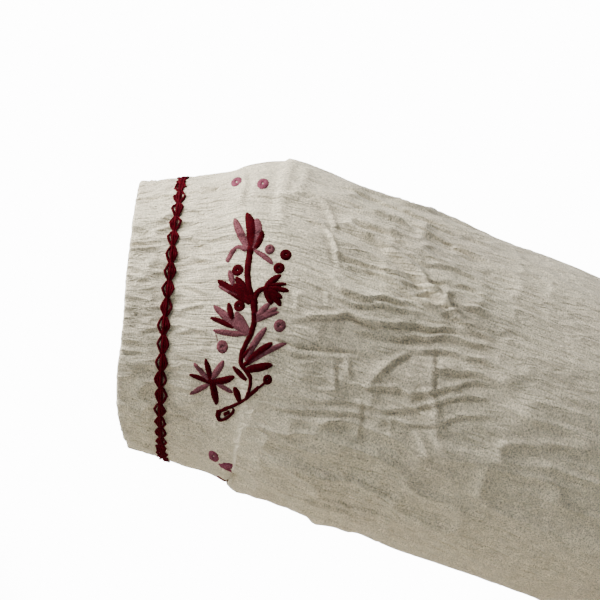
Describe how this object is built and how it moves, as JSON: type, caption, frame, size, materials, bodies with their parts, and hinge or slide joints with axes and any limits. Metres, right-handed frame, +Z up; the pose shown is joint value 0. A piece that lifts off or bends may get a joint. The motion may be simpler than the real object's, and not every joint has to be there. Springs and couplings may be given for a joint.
{
  "type": "peasant top",
  "caption": "Loose woven top with raglan sleeves gathered into a narrow neckband and into casings just past the elbow.",
  "frame": {"origin": "middle of the neck opening, at the height of the shoulders, where the wearer holds the top up", "axes": "+Z up, the wearer faces -Y, and the wearer's left side is +X"},
  "size_m": [0.8954, 0.3221, 0.6365],
  "materials": {
    "gauze": "crinkled natural cotton gauze, matt",
    "casing": "the same gauze, double and finely gathered",
    "band": "the same gauze, folded and stitched flat"
  },
  "bodies": {
    "root": {"front": "gauze", "back": "gauze", "sleeve_left": "gauze", "sleeve_right": "gauze", "cuff_casing_left": "casing", "cuff_casing_right": "casing", "neckband": "band"}
  },
  "joints": []
}
